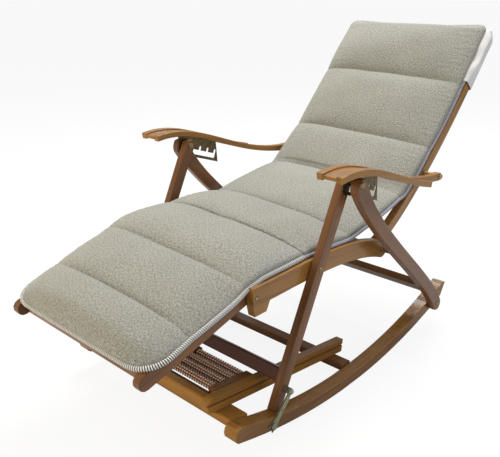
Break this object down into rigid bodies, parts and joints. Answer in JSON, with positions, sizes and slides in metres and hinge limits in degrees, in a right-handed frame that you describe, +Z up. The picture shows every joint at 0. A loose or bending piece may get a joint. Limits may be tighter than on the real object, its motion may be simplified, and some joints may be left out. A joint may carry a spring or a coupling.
{
  "type": "folding rocking chair",
  "caption": "Folding bamboo rocking chair with a quilted cushion, reclining back, leg rest and a roller frame for the feet.",
  "frame": {"origin": "on the floor, under the middle of the chair's bounding box", "axes": "+Z up, -Y where the sitter faces, +X the sitter's left"},
  "size_m": [0.688, 1.4334, 0.8833],
  "materials": {
    "bamboo_brown": "gloss lacquer",
    "bamboo_dark": "gloss lacquer",
    "bamboo_gold": "gloss lacquer",
    "zinc_steel": "yellow zinc plate",
    "brass": "satin",
    "linen": "matte heathered weave"
  },
  "bodies": {
    "base": {"rocker_left": "bamboo_brown", "rocker_right": "bamboo_brown", "rocker_bolt_left": "brass", "rocker_bolt_right": "brass", "stay_peg_left": "zinc_steel", "stay_peg_right": "zinc_steel", "foot_rail_left": "bamboo_gold", "foot_rail_right": "bamboo_gold", "rocker_front_plank": "bamboo_brown", "rocker_middle_plank": "bamboo_brown", "foot_frame_front_bar": "bamboo_gold", "roller_bar_left": "bamboo_dark", "roller_bar_middle": "bamboo_dark", "roller_bar_right": "bamboo_dark"},
    "rear": {"rear_leg_left": "bamboo_brown", "rear_leg_right": "bamboo_brown", "top_pin_left": "brass", "top_pin_right": "brass", "rear_leg_crossbar": "bamboo_brown", "seat_rest_bar": "bamboo_brown"},
    "front": {"front_leg_left": "bamboo_brown", "front_leg_right": "bamboo_brown", "top_pin_inner_left": "brass", "top_pin_inner_right": "brass", "stay_left": "zinc_steel", "stay_right": "zinc_steel", "stay_bolt_left": "zinc_steel", "stay_bolt_right": "zinc_steel", "seat_rail_left": "bamboo_gold", "seat_rail_right": "bamboo_gold", "front_leg_stretcher": "bamboo_dark", "seat_pivot_rod": "zinc_steel", "seat_front_bar": "bamboo_gold", "seat_slat_1": "bamboo_gold", "seat_slat_2": "bamboo_gold", "leg_rest_hinge_rod": "zinc_steel", "back_hinge_rod": "zinc_steel", "cushion_seat": "linen"},
    "leg_rest": {"leg_rest_rail_left": "bamboo_brown", "leg_rest_rail_right": "bamboo_brown", "leg_rest_front_bar": "bamboo_dark", "cushion_leg_rest": "linen"},
    "back": {"back_rail_left": "bamboo_brown", "back_rail_right": "bamboo_brown", "back_slat_1": "bamboo_gold", "back_slat_2": "bamboo_gold", "back_slat_3": "bamboo_gold", "cushion_back": "linen"},
    "arm_left": {"armrest_inner_strip_left": "bamboo_brown", "armrest_outer_left": "bamboo_gold", "notch_plate_left": "zinc_steel", "arm_bolt_left": "brass"},
    "arm_right": {"armrest_inner_strip_right": "bamboo_brown", "armrest_outer_right": "bamboo_gold", "notch_plate_right": "zinc_steel", "arm_bolt_right": "brass"},
    "roller_1": {"foot_roller_1": "bamboo_dark"},
    "roller_2": {"foot_roller_2": "bamboo_dark"},
    "roller_3": {"foot_roller_3": "bamboo_dark"},
    "roller_4": {"foot_roller_4": "bamboo_dark"}
  },
  "joints": [
    {"name": "fold", "type": "hinge", "parent": "base", "child": "rear", "pos_m": [0, 0.36296, 0.086], "axis": [-1, 0, 0], "range_deg": [0, 45]},
    {"name": "leg_close", "type": "hinge", "parent": "rear", "child": "front", "pos_m": [0, -0.11304, 0.575], "axis": [1, 0, 0], "range_deg": [0, 60]},
    {"name": "leg_rest_lift", "type": "hinge", "parent": "front", "child": "leg_rest", "pos_m": [0, -0.40704, 0.371], "axis": [-1, 0, 0], "range_deg": [0, 35]},
    {"name": "recline", "type": "hinge", "parent": "front", "child": "back", "pos_m": [0, 0.11096, 0.329], "axis": [1, 0, 0], "range_deg": [0, 30]},
    {"name": "arm_swing_left", "type": "hinge", "parent": "back", "child": "arm_left", "pos_m": [0.281, 0.35296, 0.49], "axis": [1, 0, 0], "range_deg": [-21, 0]},
    {"name": "arm_swing_right", "type": "hinge", "parent": "back", "child": "arm_right", "pos_m": [-0.281, 0.35296, 0.49], "axis": [1, 0, 0], "range_deg": [-21, 0]},
    {"name": "roller_1_spin", "type": "hinge", "parent": "base", "child": "roller_1", "pos_m": [0, -0.45454, 0.12531], "axis": [1, 0, 0], "continuous": true},
    {"name": "roller_2_spin", "type": "hinge", "parent": "base", "child": "roller_2", "pos_m": [0, -0.42284, 0.12096], "axis": [1, 0, 0], "continuous": true},
    {"name": "roller_3_spin", "type": "hinge", "parent": "base", "child": "roller_3", "pos_m": [0, -0.39114, 0.11662], "axis": [1, 0, 0], "continuous": true},
    {"name": "roller_4_spin", "type": "hinge", "parent": "base", "child": "roller_4", "pos_m": [0, -0.35943, 0.11228], "axis": [1, 0, 0], "continuous": true}
  ],
  "couplings": [
    {"joint": "leg_close", "follows": "fold", "ratio": 1.33},
    {"joint": "arm_swing_left", "follows": "recline", "ratio": -0.672},
    {"joint": "arm_swing_right", "follows": "recline", "ratio": -0.672}
  ]
}
